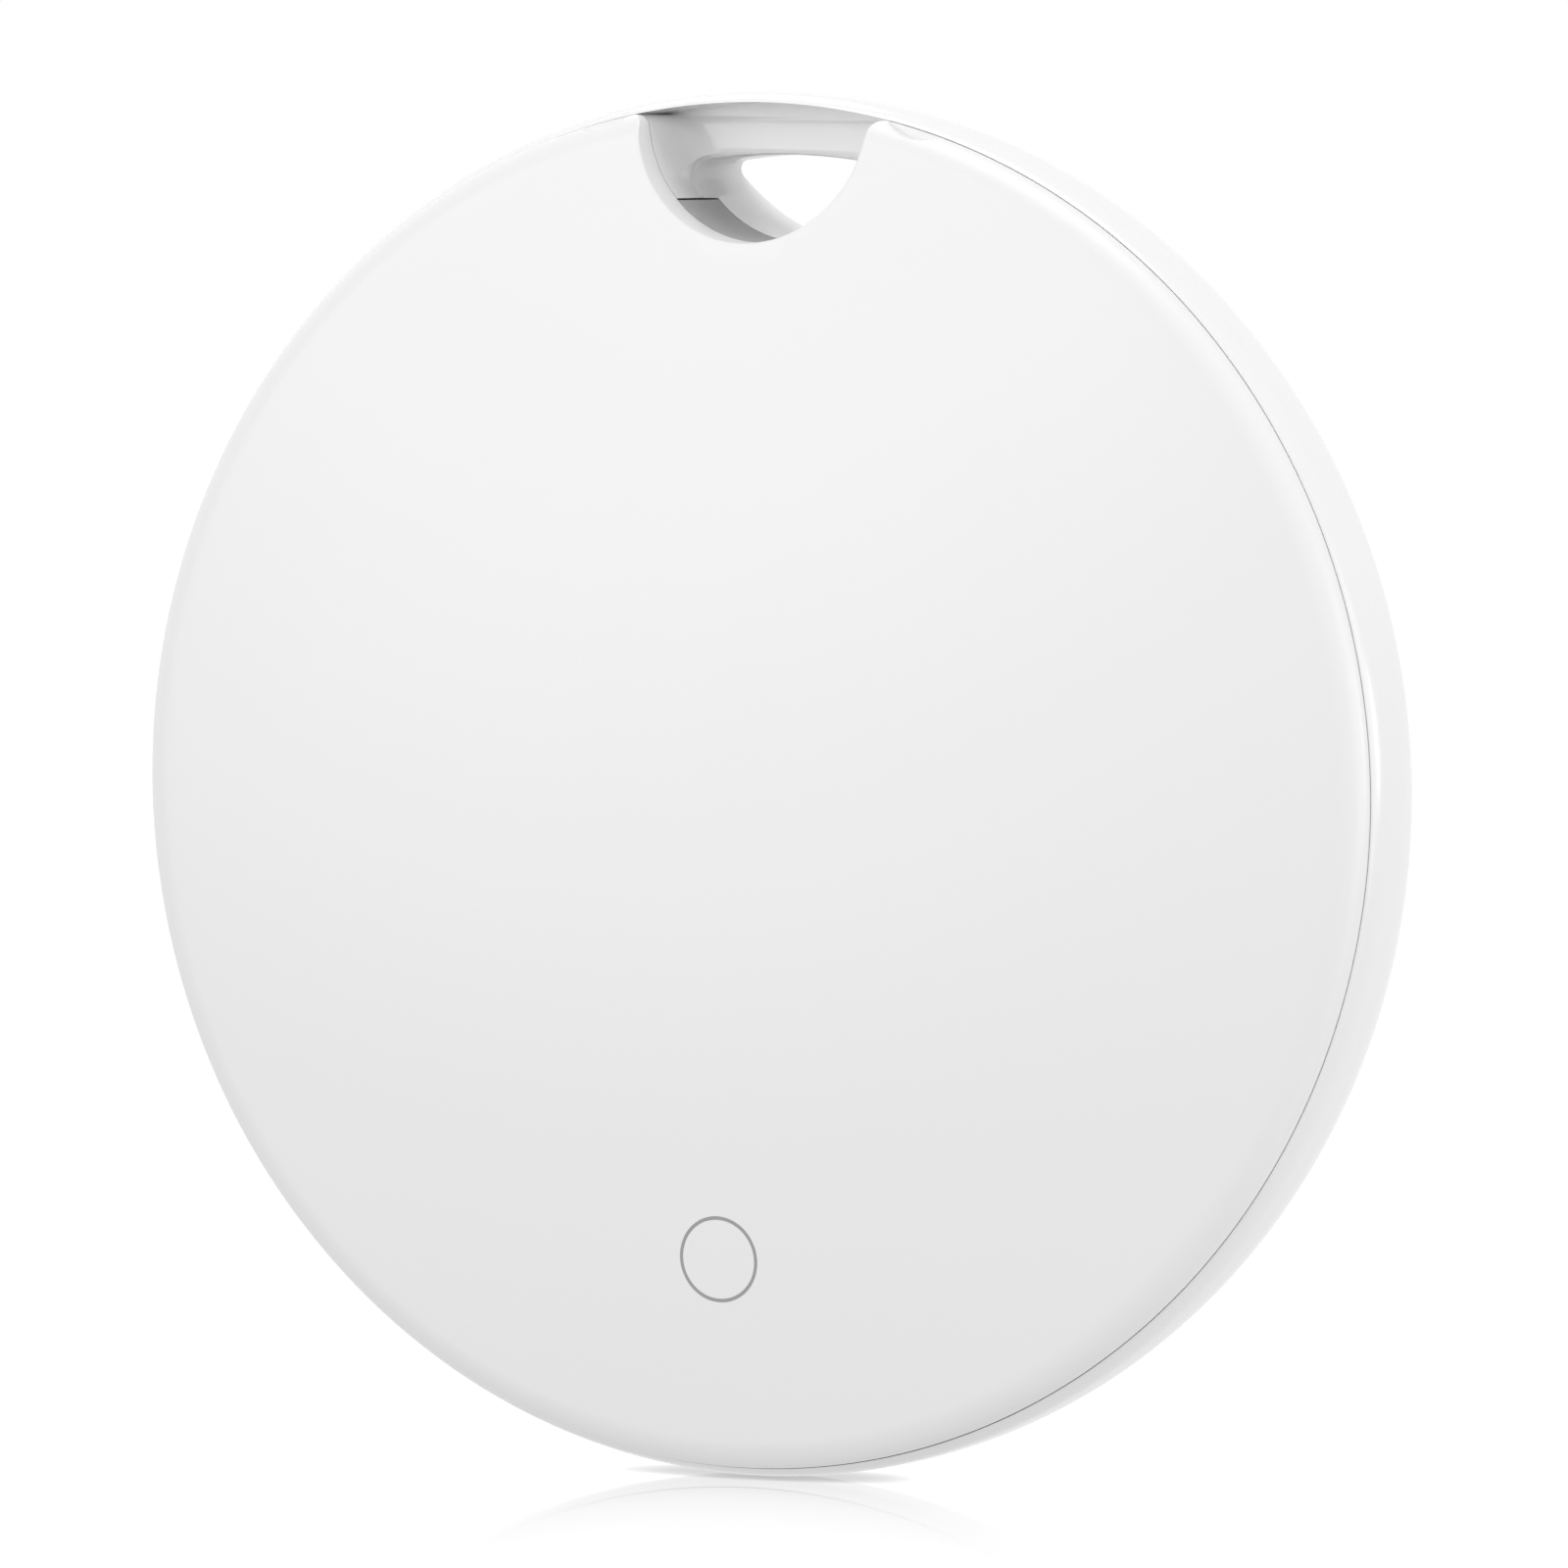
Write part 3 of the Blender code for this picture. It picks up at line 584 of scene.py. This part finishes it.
frame_steps = [
    ("DIFFERENCE", rod(COLLAR_R + COLLAR_GAP, -1.0, 5.0, (0.0, HOLE_Z))),
    ("UNION", block(wall_low, wall_high, FRAME_EDGE)),
    ("UNION", block(rib_low, rib_high, FRAME_EDGE)),
    ("DIFFERENCE", rod(HOLE_R, -1.0, 5.0, (0.0, HOLE_Z), 256)),
    ("DIFFERENCE", block(*blade_window, FRAME_WINDOW_EDGE)),
    ("DIFFERENCE", block(*switch_window, FRAME_WINDOW_EDGE)),
]
for degrees in SCREW_ANGLES:
    screw_hole = rod(SCREW_HOLE_R, 2.0, 4.0, (SCREW_RING_R, 0.0), 48)
    frame_steps.append(("DIFFERENCE", round_the_ring(screw_hole, degrees)))
tray = worked(spun(eased(frame_line, 0.08)), *frame_steps)
# The frame's mid grey is painted shade: it darkens the wall lining the strap hole as its shadow would.
frame_plastic = speckled("frame_plastic", (0.40, 0.40, 0.405), (0.46, 0.46, 0.465), 0.5, 0.12, 0.004)
piece("tray_moulding", tray, frame_plastic, "shell", "frame_plastic", "inner_frame")

# ---- Battery contacts ----
# Springs stamped from sheet and gold plated: a blade beside the can, a leaf behind the cap, and the two that
# lead from the board to the sounder. They keep their own shape.
gold = speckled("contact_gold", (0.78, 0.56, 0.24), (0.86, 0.66, 0.33), 0.28, 0.3, 0.003, 1.0)
refinish(gold, "positive_contact", "negative_contact", "buzzer_contact_plate", "buzzer_contact_ceramic")

# ---- Tactile switch ----
# A low switch on the board behind the button: a black base, a pressed steel lid and a black plunger through
# holes in both.
black = speckled("switch_black", (0.015, 0.015, 0.015), (0.04, 0.04, 0.04), 0.45, 0.08, 0.003)
steel = speckled("steel", (0.55, 0.55, 0.55), (0.72, 0.72, 0.71), 0.25, 0.2, 0.002, 1.0)
BASE_BORE_R, LID_BORE_R = 0.85, 0.62
PIN_R = 0.57
PIN_SHOULDER = 0.2
base_low, base_high = room("switch_base")
base = worked(
    block(base_low, base_high, 0.08),
    ("DIFFERENCE", rod(BASE_BORE_R, 1.0, 3.1, (0.0, BUTTON_Z), 64)),
)
piece("switch_housing", base, black, "shell", "switch_black", "switch_base")
lid_low, lid_high = room("switch_lid")
lid_bore = rod(LID_BORE_R, 1.0, 3.0, (0.0, BUTTON_Z), 64)
lid = worked(block(lid_low, lid_high, 0.05), ("DIFFERENCE", lid_bore))
piece("switch_plate", lid, steel, "shell", "steel", "switch_lid")
plunger_low, plunger_high = room("switch_plunger")
plunger_line = [
    (0.0, plunger_low.y),
    (PIN_R, plunger_low.y),
    (PIN_R, lid_low.y + PIN_SHOULDER),
    (plunger_high.x, lid_low.y + PIN_SHOULDER),
    (plunger_high.x, plunger_high.y),
    (0.0, plunger_high.y),
]
plunger = spun(eased(plunger_line, 0.07, closed=False), 64, (0.0, BUTTON_Z))
piece("switch_pin", plunger, black, "plunger", "switch_black", "switch_plunger")

# ---- Circuit board ----
# A laminate board under green solder mask, which keeps its own shape. Copper tracks show through the mask as
# lighter lines, with tinned via dots among them.
board = Finish("board_laminate", 0.4)
TRACK_PITCH = 1.1 * MM
VIA_PITCH = 2.2 * MM
squares = {"distance": "CHEBYCHEV", "feature": "DISTANCE_TO_EDGE"}
mazes = board.node("TexVoronoi", squares, {"Vector": board.place, "Scale": 1 / TRACK_PITCH}, "Distance")
scattered = {"Vector": board.place, "Scale": 1 / VIA_PITCH, "Randomness": 0.6}
spots = board.node("TexVoronoi", {}, scattered, "Distance")
track = mazes < 0.08
via = spots < 0.12
mask_colour = board.blend(board.grain(3.0), (0.008, 0.085, 0.035), (0.012, 0.11, 0.045))
tracked = board.blend(track, mask_colour, (0.03, 0.22, 0.09))
board.shade(
    Base_Color=board.blend(via, tracked, (0.62, 0.6, 0.55)),
    Metallic=via * 1.0,
    Roughness=0.32 + board.grain(0.2) * 0.12 - track * 0.05,
    Normal=board.relief(track * 0.6 + via, 0.03),
)
refinish(board, "circuit_board")

# ---- Parts on the board's rear ----
# A radio chip and an inductor in black resin, a crystal in a steel can, ceramic capacitors and a chip
# antenna. They keep their own shapes.
resin = speckled("chip_black", (0.012, 0.012, 0.014), (0.035, 0.035, 0.038), 0.4, 0.06, 0.004)
tan_ceramic = speckled("capacitor_ceramic", (0.36, 0.25, 0.15), (0.52, 0.38, 0.24), 0.5, 0.1, 0.004)
white_ceramic = speckled("antenna_ceramic", (0.74, 0.74, 0.72), (0.82, 0.82, 0.8), 0.35, 0.15, 0.003)
refinish(resin, "radio_chip", "inductor")
refinish(steel, "crystal")
refinish(tan_ceramic, *(f"capacitor_{number}" for number in range(1, 5)))
refinish(white_ceramic, "antenna")

# ---- Sounder ----
# A piezo disc: off-white ceramic on a brass plate, held on the shell by a ring of foam tape. The parts keep
# their own shapes.
brass = speckled("brass", (0.66, 0.46, 0.18), (0.78, 0.58, 0.27), 0.3, 0.4, 0.002, 1.0)
piezo = speckled("piezo_ceramic", (0.64, 0.62, 0.54), (0.74, 0.72, 0.64), 0.45, 0.1, 0.003)
refinish(brass, "buzzer_plate")
refinish(piezo, "buzzer_ceramic")
refinish(foam, "buzzer_tape")

# ---- Frame screws ----
# Three small steel screws with cross recesses in their heads, through the frame and the board into the
# shell's bosses.
HEAD_R = 1.15
SHANK_R = 0.45
SLOT_HALF = 0.13
SLOT_REACH = 0.65
SLOT_DEPTH = 0.35
for number, degrees in enumerate(SCREW_ANGLES, 1):
    screw_node = f"frame_screw_{number}"
    head_front, tip = (corner.y for corner in room(screw_node))
    screw_line = [
        (0.0, head_front),
        (HEAD_R, head_front),
        (HEAD_R, FLOOR_FRONT - 0.02),
        (SHANK_R, FLOOR_FRONT - 0.02),
        (SHANK_R, tip),
        (0.0, tip),
    ]
    slots_cut = []
    for across, along in ((SLOT_REACH, SLOT_HALF), (SLOT_HALF, SLOT_REACH)):
        low = (SCREW_RING_R - across, head_front - 1, -along)
        high = (SCREW_RING_R + across, head_front + SLOT_DEPTH, along)
        slots_cut.append(("DIFFERENCE", block(low, high)))
    screw = worked(spun(eased(screw_line, 0.14, closed=False), 64, (SCREW_RING_R, 0.0)), *slots_cut)
    piece(f"pan_screw_{number}", round_the_ring(screw, degrees), steel, "shell", "steel", screw_node)

# ---- Rear shell ----
# The deep half of the housing, one white moulding: a thin lip round the cover, a side that curves into the
# flat back, and the collar and bridge of the strap hole. The inside has three screw bosses.
WALL = 1.1
LIP_R = COVER_R + 0.02
LIP_FLAT = 0.03
LIP_EASE = 0.3
LIP_SLOPE_Y = 0.55
LEDGE_Y = 1.0
LEDGE_R = 16.95
REAR_CURVE_Y = 1.3
REAR_FLAT_R = 8.0
REAR_POWER = 2.5
REAR_ROOT = 2.1
BRIDGE_R = 17.3
BRIDGE_Y = 1.85
HOLE_CORNER = 0.5
HOLE_REAR_CORNER = 0.15
WEB_FILLET = 1.1
BOSS_R = 1.5
BOSS_FRONT = 3.95
PILOT_R = 0.5


def rear_curve(outer_r, rear_y, steps):
    """Points from the shell's widest part round to its flat rear face, for the outside or the inside."""
    points = []
    for step in range(steps + 1):
        slope = math.radians(90 * step / steps)
        share = math.cos(slope) ** (2 / REAR_POWER)
        depth = (1 - share**REAR_POWER) ** (1 / REAR_ROOT)
        radius = REAR_FLAT_R + (outer_r - REAR_FLAT_R) * share
        points.append((radius, REAR_CURVE_Y + (rear_y - REAR_CURVE_Y) * depth))
    return points


def hole_outline(grow=0.0, corner=HOLE_CORNER):
    """The through hole: a round bore below, the bridge's underside above, and rounded corners between."""
    bore = HOLE_R + grow
    bridge = BRIDGE_R + grow
    corner = corner + grow
    centre = circles_meet(HOLE_Z, bore - corner, bridge - corner)
    low = bearing((0.0, HOLE_Z), centre)
    high = bearing((0.0, 0.0), centre)
    right_side = arc(centre, corner, low, high, 8)
    left_side = [(-x, z) for x, z in reversed(right_side)]
    top = arc((0.0, 0.0), bridge, high, 180 - high, 16)[1:-1]
    return right_side + top + left_side + arc((0.0, HOLE_Z), bore, -180 - low, low, 40)[1:-1]


def at_depth(outline, depth):
    """An outline of (x, z) points, set upright at one depth."""
    return [(x, depth, z) for x, z in outline]


lip_corners = [(0.0, 0.0), (LIP_R + LIP_FLAT, 0.0), (BODY_R, LIP_SLOPE_Y), (BODY_R, REAR_CURVE_Y)]
lip_edge = eased(lip_corners, LIP_EASE, 6, closed=False)
outside_line = [*lip_edge[:-1], *rear_curve(BODY_R, REAR_Y, 60), (0.0, REAR_Y)]
inside_curve = rear_curve(BODY_R - WALL, REAR_Y - WALL, 24)
hollow_line = [(0.0, -1.0), (BODY_R - WALL, -1.0), *inside_curve, (0.0, REAR_Y - WALL)]
kept_in_hollow = [("DIFFERENCE", rod(COLLAR_R, COLLAR_FRONT, REAR_Y, (0.0, HOLE_Z)))]
pilots = []
for degrees in SCREW_ANGLES:
    boss = round_the_ring(rod(BOSS_R, BOSS_FRONT, REAR_Y, (SCREW_RING_R, 0.0), 48), degrees)
    kept_in_hollow.append(("DIFFERENCE", boss))
    pilots.append(("DIFFERENCE", round_the_ring(rod(PILOT_R, 2.0, 5.2, (SCREW_RING_R, 0.0), 32), degrees)))
hollow = worked(spun(hollow_line, 192), *kept_in_hollow)
mouth_line = [(LIP_R, -1.0), (LIP_R, LEDGE_Y), (LEDGE_R, LEDGE_Y), (LEDGE_R, -1.0)]
mouth = worked(spun(mouth_line), ("DIFFERENCE", rod(COLLAR_R, COLLAR_FRONT, 3.0, (0.0, HOLE_Z))))
ROOM_HALF, ROOM_FOOT, ROOM_REAR = 6.0, 13.0, 2.6
room_corners = [
    (-ROOM_HALF, ROOM_FOOT),
    (ROOM_HALF, ROOM_FOOT),
    (ROOM_HALF, PARTING_Z),
    (-ROOM_HALF, PARTING_Z),
]
frame_room = slab(room_corners, -1.0, ROOM_REAR)
HOLE_EASE = 0.12
strap_hole = drawn(
    at_depth(hole_outline(), -1.0),
    at_depth(hole_outline(), COLLAR_FRONT),
    at_depth(hole_outline(HOLE_EASE), BRIDGE_Y - 0.001),
    at_depth(hole_outline(HOLE_EASE * 0.3), BRIDGE_Y + HOLE_EASE * 0.3),
    at_depth(hole_outline(), BRIDGE_Y + HOLE_EASE),
    at_depth(hole_outline(corner=HOLE_REAR_CORNER), REAR_Y + 1),
)
# In front of the bridge's web the notch goes on into the shell, up to its lip, and fillets into the web.
web_steps = [math.radians(15 * step) for step in range(7)]
recess_outlines = [at_depth(notch_outline(), -1.0)]
for turn in web_steps:
    inward = WEB_FILLET * (1 - math.cos(turn))
    depth = BRIDGE_Y - WEB_FILLET * (1 - math.sin(turn))
    recess_outlines.append(at_depth(notch_outline(-inward), depth))
recess = worked(drawn(*recess_outlines), ("INTERSECT", rod(LIP_R, -2.0, 3.0, steps=256)))
shell = worked(
    spun(outside_line),
    ("DIFFERENCE", hollow),
    *pilots,
    ("DIFFERENCE", mouth),
    ("DIFFERENCE", frame_room),
    ("DIFFERENCE", strap_hole),
    ("DIFFERENCE", recess),
    solver="MANIFOLD",
)
shell_plastic = white_plastic("shell_plastic", (0.86, 0.86, 0.862), 0.18)
piece("shell_moulding", shell, shell_plastic, "shell", "shell_plastic", "rear_shell")

# ---- Floor ----
# A plain pale floor, touched by the tag's rim at its lowest point. It glows by itself, darkens in the narrow
# gap beside the rim, and has a polish that fades away from it.
FLOOR_SIZE = 4000.0
sweep = bmesh.new()
bmesh.ops.create_grid(sweep, x_segments=1, y_segments=1, size=FLOOR_SIZE * MM / 2)
bmesh.ops.translate(sweep, vec=(0.0, 0.0, -BODY_R * MM), verts=sweep.verts)
bmesh.ops.rotate(sweep, cent=(0, 0, 0), matrix=level, verts=sweep.verts)
floor_mesh = bpy.data.meshes.new("floor")
sweep.to_mesh(floor_mesh)
sweep.free()
floor = bpy.data.objects.new("floor", floor_mesh)
scene.collection.objects.link(floor)
pale_material = bpy.data.materials.new("pale_floor")
pale_material.use_nodes = True
pale = Nodes(pale_material.node_tree)
pale.tree.nodes.clear()
place = pale.node("TexCoord", {}, {}, "Object")
CONTACT = (0.0, 0.0, -BODY_R * MM)
SHEEN_AT_CONTACT = 0.6
SHEEN_HALVES_IN = 9.0
SHADOW_REACH = 0.5
SHADOW_FLOOR = 0.34
OPEN_FLOOR = 1.04
WHITE = (1.0, 1.0, 1.0, 1.0)
away = pale.node("VectorMath", {"operation": "DISTANCE"}, {0: place, 1: CONTACT}, "Value")
halvings = away * (1 / (SHEEN_HALVES_IN * MM))
sheen = pale.node("Math", {"operation": "POWER"}, {0: 0.5, 1: halvings}) * SHEEN_AT_CONTACT
open_sky = pale.node("AmbientOcclusion", {"samples": 16}, {"Distance": SHADOW_REACH * MM}, "AO")
brightness = open_sky * (OPEN_FLOOR - SHADOW_FLOOR) + SHADOW_FLOOR
glow = pale.node("Emission", {}, {"Color": WHITE, "Strength": brightness})
gloss = pale.node("BsdfAnisotropic", {}, {"Color": WHITE, "Roughness": 0.04})
surface = pale.node("MixShader", {}, {0: sheen, 1: glow, 2: gloss})
pale.node("OutputMaterial", {}, {"Surface": surface})
floor_mesh.materials.append(pale_material)
floor.visible_diffuse = False
floor.visible_glossy = False
floor.visible_shadow = False

# ---- Light ----
# A white room, whose walls look white to the camera and in reflections but light the tag more weakly. The
# softboxes aimed at the tag do the rest: large ones above, at the front left and at the right, a weaker one
# low at the right, and two small ones behind it that glint along the shell's lip.
world = bpy.data.worlds.new("studio")
scene.world = world
world.use_nodes = True
studio = Nodes(world.node_tree)
to_camera = studio.node("LightPath", {}, {}, "Is Camera Ray")
in_reflection = studio.node("LightPath", {}, {}, "Is Glossy Ray")
seen = studio.node("Math", {"operation": "MAXIMUM"}, {0: to_camera, 1: in_reflection})
FILL = 0.55
walls = {"Color": WHITE, "Strength": seen * (1 - FILL) + FILL}
studio.join(world.node_tree.nodes["Background"], walls)
SOFTBOX_DISTANCE = 0.6
LARGE, SMALL = 0.45, 0.18
KEY = 1.2
softboxes = {
    "above": ((0.0, -0.25, 1.0), LARGE, KEY),
    "front_left": ((-0.6, -1.0, 0.25), LARGE, KEY),
    "right": ((1.0, -0.2, 0.15), LARGE, KEY * 0.75),
    "low_right": ((0.9, -0.3, -0.5), LARGE, KEY / 4),
    "lip_glint_right": ((1.0, 0.27, 0.1), SMALL, KEY / 3),
    "lip_glint_above": ((-0.45, 0.55, 0.7), SMALL, KEY / 3),
}
for softbox, (direction, size, watts) in softboxes.items():
    lamp = bpy.data.lights.new(softbox, "AREA")
    lamp.shape = "DISK"
    lamp.size = size
    lamp.energy = watts
    hung = bpy.data.objects.new(softbox, lamp)
    away_from_tag = Vector(direction).normalized()
    hung.location = away_from_tag * SOFTBOX_DISTANCE
    hung.rotation_euler = away_from_tag.to_track_quat("Z", "Y").to_euler()
    hung.visible_camera = False
    scene.collection.objects.link(hung)
scene.view_settings.view_transform = "Standard"
